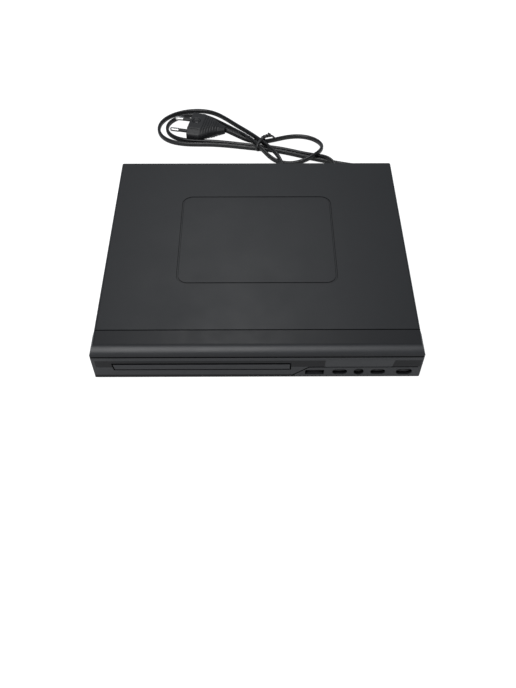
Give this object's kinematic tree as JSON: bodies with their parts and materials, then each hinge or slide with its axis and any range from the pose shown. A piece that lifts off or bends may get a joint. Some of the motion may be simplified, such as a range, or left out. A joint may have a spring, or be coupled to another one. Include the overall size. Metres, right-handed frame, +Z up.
{
  "type": "disc player",
  "caption": "Slim disc player with a front loading tray, button row, rear jacks and a captive mains lead tied in a hank.",
  "frame": {"origin": "on the table, under the middle of the player's own box, without its lead", "axes": "+X to the player's right, +Y towards its rear jacks, +Z up"},
  "size_m": [0.244, 0.3429, 0.038],
  "materials": {
    "zinc_steel": "zinc coated, dull",
    "cover_paint": "fine textured charcoal paint",
    "bezel_plastic": "satin charcoal moulding",
    "strip_gloss": "gloss black",
    "window_smoke": "smoked, glossy",
    "foot_rubber": "matte",
    "black_screws": "black oxide",
    "zinc_screws": "zinc coated",
    "black_plastic": "matte black moulding",
    "jack_metal": "nickel plated",
    "ring_yellow": "moulded yellow",
    "ring_white": "moulded white",
    "ring_red": "moulded red",
    "motor_steel": "plated can",
    "belt_rubber": "matte",
    "board_green": "green solder mask",
    "board_brown": "bare paper laminate",
    "transformer_tape": "yellow tape over ferrite",
    "capacitor_sleeve": "printed film sleeve, left plain",
    "display_body": "grey moulding",
    "usb_black": "black moulding",
    "socket_steel": "tinned steel",
    "ribbon_grey": "flat cable",
    "cord_black": "soft satin black",
    "tie_black": "coated wire",
    "plug_black": "satin black moulding",
    "pin_nickel": "nickel plated brass",
    "tray_black": "satin black moulding",
    "gear_white": "natural acetal",
    "rod_steel": "ground",
    "sled_metal": "cast grey",
    "lens_glass": "coated lens",
    "button_plastic": "satin charcoal moulding"
  },
  "bodies": {
    "chassis": {"chassis_pan": "zinc_steel", "top_cover": "cover_paint", "front_bezel": "bezel_plastic", "fascia_strip": "strip_gloss", "display_window": "window_smoke", "case_feet": "foot_rubber", "case_screws": "black_screws", "jack_block": "black_plastic", "jack_shells": "jack_metal", "jack_ring_yellow": "ring_yellow", "jack_ring_white": "ring_white", "jack_ring_red": "ring_red", "loader_frame": "black_plastic", "clamp_bridge": "zinc_steel", "loader_motor": "motor_steel", "drive_belt": "belt_rubber", "main_board": "board_green", "main_board_parts": "black_plastic", "power_board": "board_brown", "power_transformer": "transformer_tape", "power_capacitors": "capacitor_sleeve", "front_board": "board_green", "key_switches": "black_plastic", "led_display": "display_body", "ir_receiver": "display_body", "usb_socket": "socket_steel", "usb_tongue": "usb_black", "front_ribbon": "ribbon_grey", "board_screws": "zinc_screws", "cord_gland": "cord_black", "mains_lead": "cord_black", "mains_hank": "cord_black", "cord_tie": "tie_black", "plug_body": "plug_black", "plug_pins": "pin_nickel", "plug_sleeves": "plug_black"},
    "tray": {"disc_tray": "tray_black", "tray_door": "bezel_plastic"},
    "drive_gear": {"drive_gear": "gear_white"},
    "pulley_gear": {"pulley_gear": "gear_white"},
    "motor_pulley": {"motor_pulley": "gear_white"},
    "cam_slider": {"cam_slider": "gear_white"},
    "traverse": {"traverse_frame": "black_plastic", "spindle_motor": "motor_steel", "guide_rods": "rod_steel", "sled_motor": "motor_steel"},
    "turntable": {"turntable": "tray_black"},
    "lead_screw": {"lead_screw": "rod_steel"},
    "pickup": {"pickup_sled": "sled_metal"},
    "lens": {"objective_lens": "lens_glass"},
    "clamp_puck": {"clamp_puck": "black_plastic"},
    "eject_key": {"eject_button": "button_plastic", "eject_plunger": "gear_white"},
    "play_key": {"play_button": "button_plastic", "play_plunger": "gear_white"},
    "stop_key": {"stop_button": "button_plastic", "stop_plunger": "gear_white"},
    "power_key": {"power_button": "button_plastic", "power_plunger": "gear_white"}
  },
  "joints": [
    {"name": "tray_slide", "type": "slide", "parent": "chassis", "child": "tray", "axis": [0, -1, 0], "range_m": [0, 0.132]},
    {"name": "drive_gear_spin", "type": "hinge", "parent": "chassis", "child": "drive_gear", "pos_m": [0.0085, -0.092, 0.014], "axis": [0, 0, 1], "range_deg": [-758, 0]},
    {"name": "pulley_gear_spin", "type": "hinge", "parent": "chassis", "child": "pulley_gear", "pos_m": [0.02177, -0.08271, 0.011], "axis": [0, 0, 1], "range_deg": [0, 1514]},
    {"name": "motor_pulley_spin", "type": "hinge", "parent": "chassis", "child": "motor_pulley", "pos_m": [0.04577, -0.07601, 0.01], "axis": [0, 0, 1], "range_deg": [0, 5502]},
    {"name": "traverse_lift", "type": "hinge", "parent": "chassis", "child": "traverse", "pos_m": [-0.041, 0.04, 0.012], "axis": [1, 0, 0], "range_deg": [0, 1.8]},
    {"name": "cam_slide", "type": "slide", "parent": "chassis", "child": "cam_slider", "axis": [1, 0, 0], "range_m": [0, 0.012]},
    {"name": "spindle_spin", "type": "hinge", "parent": "traverse", "child": "turntable", "pos_m": [-0.041, -0.04, 0.018], "axis": [0, 0, 1], "continuous": true},
    {"name": "sled_slide", "type": "slide", "parent": "traverse", "child": "pickup", "axis": [0, 1, 0], "range_m": [0, 0.034]},
    {"name": "lead_screw_spin", "type": "hinge", "parent": "traverse", "child": "lead_screw", "pos_m": [-0.008, 0, 0.0139], "axis": [0, 1, 0], "range_deg": [0, 4081]},
    {"name": "lens_focus", "type": "slide", "parent": "pickup", "child": "lens", "axis": [0, 0, 1], "range_m": [-0.0004, 0.0004], "stiffness_N_per_m": 50},
    {"name": "puck_spin", "type": "hinge", "parent": "chassis", "child": "clamp_puck", "pos_m": [-0.041, -0.04, 0.023], "axis": [0, 0, 1], "continuous": true},
    {"name": "eject_press", "type": "slide", "parent": "chassis", "child": "eject_key", "axis": [0, 1, 0], "range_m": [0, 0.0005], "stiffness_N_per_m": 800},
    {"name": "play_press", "type": "slide", "parent": "chassis", "child": "play_key", "axis": [0, 1, 0], "range_m": [0, 0.0005], "stiffness_N_per_m": 800},
    {"name": "stop_press", "type": "slide", "parent": "chassis", "child": "stop_key", "axis": [0, 1, 0], "range_m": [0, 0.0005], "stiffness_N_per_m": 800},
    {"name": "power_press", "type": "slide", "parent": "chassis", "child": "power_key", "axis": [0, 1, 0], "range_m": [0, 0.0005], "stiffness_N_per_m": 800}
  ],
  "couplings": [
    {"joint": "drive_gear_spin", "follows": "tray_slide", "rad_per_m": -100},
    {"joint": "pulley_gear_spin", "follows": "tray_slide", "rad_per_m": 200},
    {"joint": "motor_pulley_spin", "follows": "tray_slide", "rad_per_m": 727.27},
    {"joint": "cam_slide", "follows": "traverse_lift", "m_per_rad": 0.38197},
    {"joint": "lead_screw_spin", "follows": "sled_slide", "rad_per_m": 2094.4}
  ]
}
